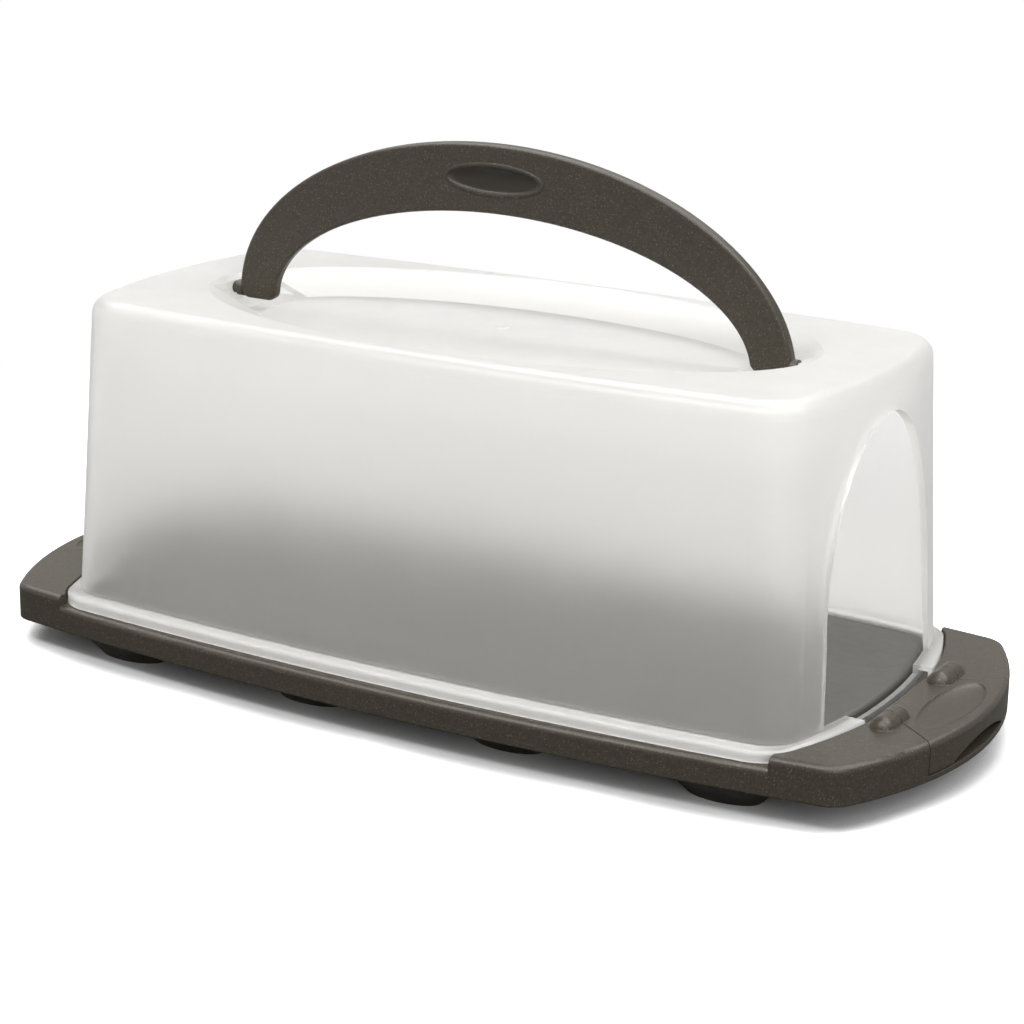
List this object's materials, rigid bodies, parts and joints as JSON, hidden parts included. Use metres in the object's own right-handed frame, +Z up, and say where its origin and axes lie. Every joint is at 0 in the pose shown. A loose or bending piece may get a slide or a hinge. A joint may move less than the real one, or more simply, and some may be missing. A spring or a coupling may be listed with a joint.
{
  "type": "cake carrier",
  "caption": "Oblong cake carrier: dark tray on soft feet, frosted lift-off hood with an arched doorway, a fold-down arc handle and a hinged latch at each end.",
  "frame": {"origin": "middle of the carrier's footprint, on the table the feet stand on", "axes": "+X along the length towards the end with the doorway, +Y across towards the back, +Z up"},
  "size_m": [0.412, 0.183, 0.2142],
  "materials": {
    "dark_plastic": "satin, finely flecked brownish anthracite",
    "grey_plastic": "satin neutral grey",
    "frosted_plastic": "translucent frosted white, softly glossy",
    "hinge_steel": "plain drawn wire",
    "foot_rubber": "matt black"
  },
  "bodies": {
    "tray": {"base_tray": "dark_plastic", "floor_insert": "grey_plastic", "foot_front_1": "foot_rubber", "foot_front_2": "foot_rubber", "foot_front_3": "foot_rubber", "foot_front_4": "foot_rubber", "foot_back_1": "foot_rubber", "foot_back_2": "foot_rubber", "foot_back_3": "foot_rubber", "foot_back_4": "foot_rubber", "hinge_pin_right_back": "hinge_steel", "hinge_pin_right_front": "hinge_steel", "hinge_pin_left_back": "hinge_steel", "hinge_pin_left_front": "hinge_steel"},
    "hood": {"hood": "frosted_plastic"},
    "handle": {"carry_handle": "dark_plastic"},
    "latch_right": {"latch_right": "dark_plastic"},
    "latch_left": {"latch_left": "dark_plastic"}
  },
  "joints": [
    {"name": "hood_lift", "type": "slide", "parent": "tray", "child": "hood", "axis": [0, 0, 1], "range_m": [0, 0.16]},
    {"name": "handle_swing", "type": "hinge", "parent": "hood", "child": "handle", "pos_m": [0, 0, 0.1427], "axis": [1, 0, 0], "range_deg": [-77.5, 66.5]},
    {"name": "latch_right_hinge", "type": "hinge", "parent": "tray", "child": "latch_right", "pos_m": [0.18, 0, 0.0246], "axis": [0, -1, 0], "range_deg": [0, 95]},
    {"name": "latch_left_hinge", "type": "hinge", "parent": "tray", "child": "latch_left", "pos_m": [-0.18, 0, 0.0246], "axis": [0, 1, 0], "range_deg": [0, 95]}
  ]
}
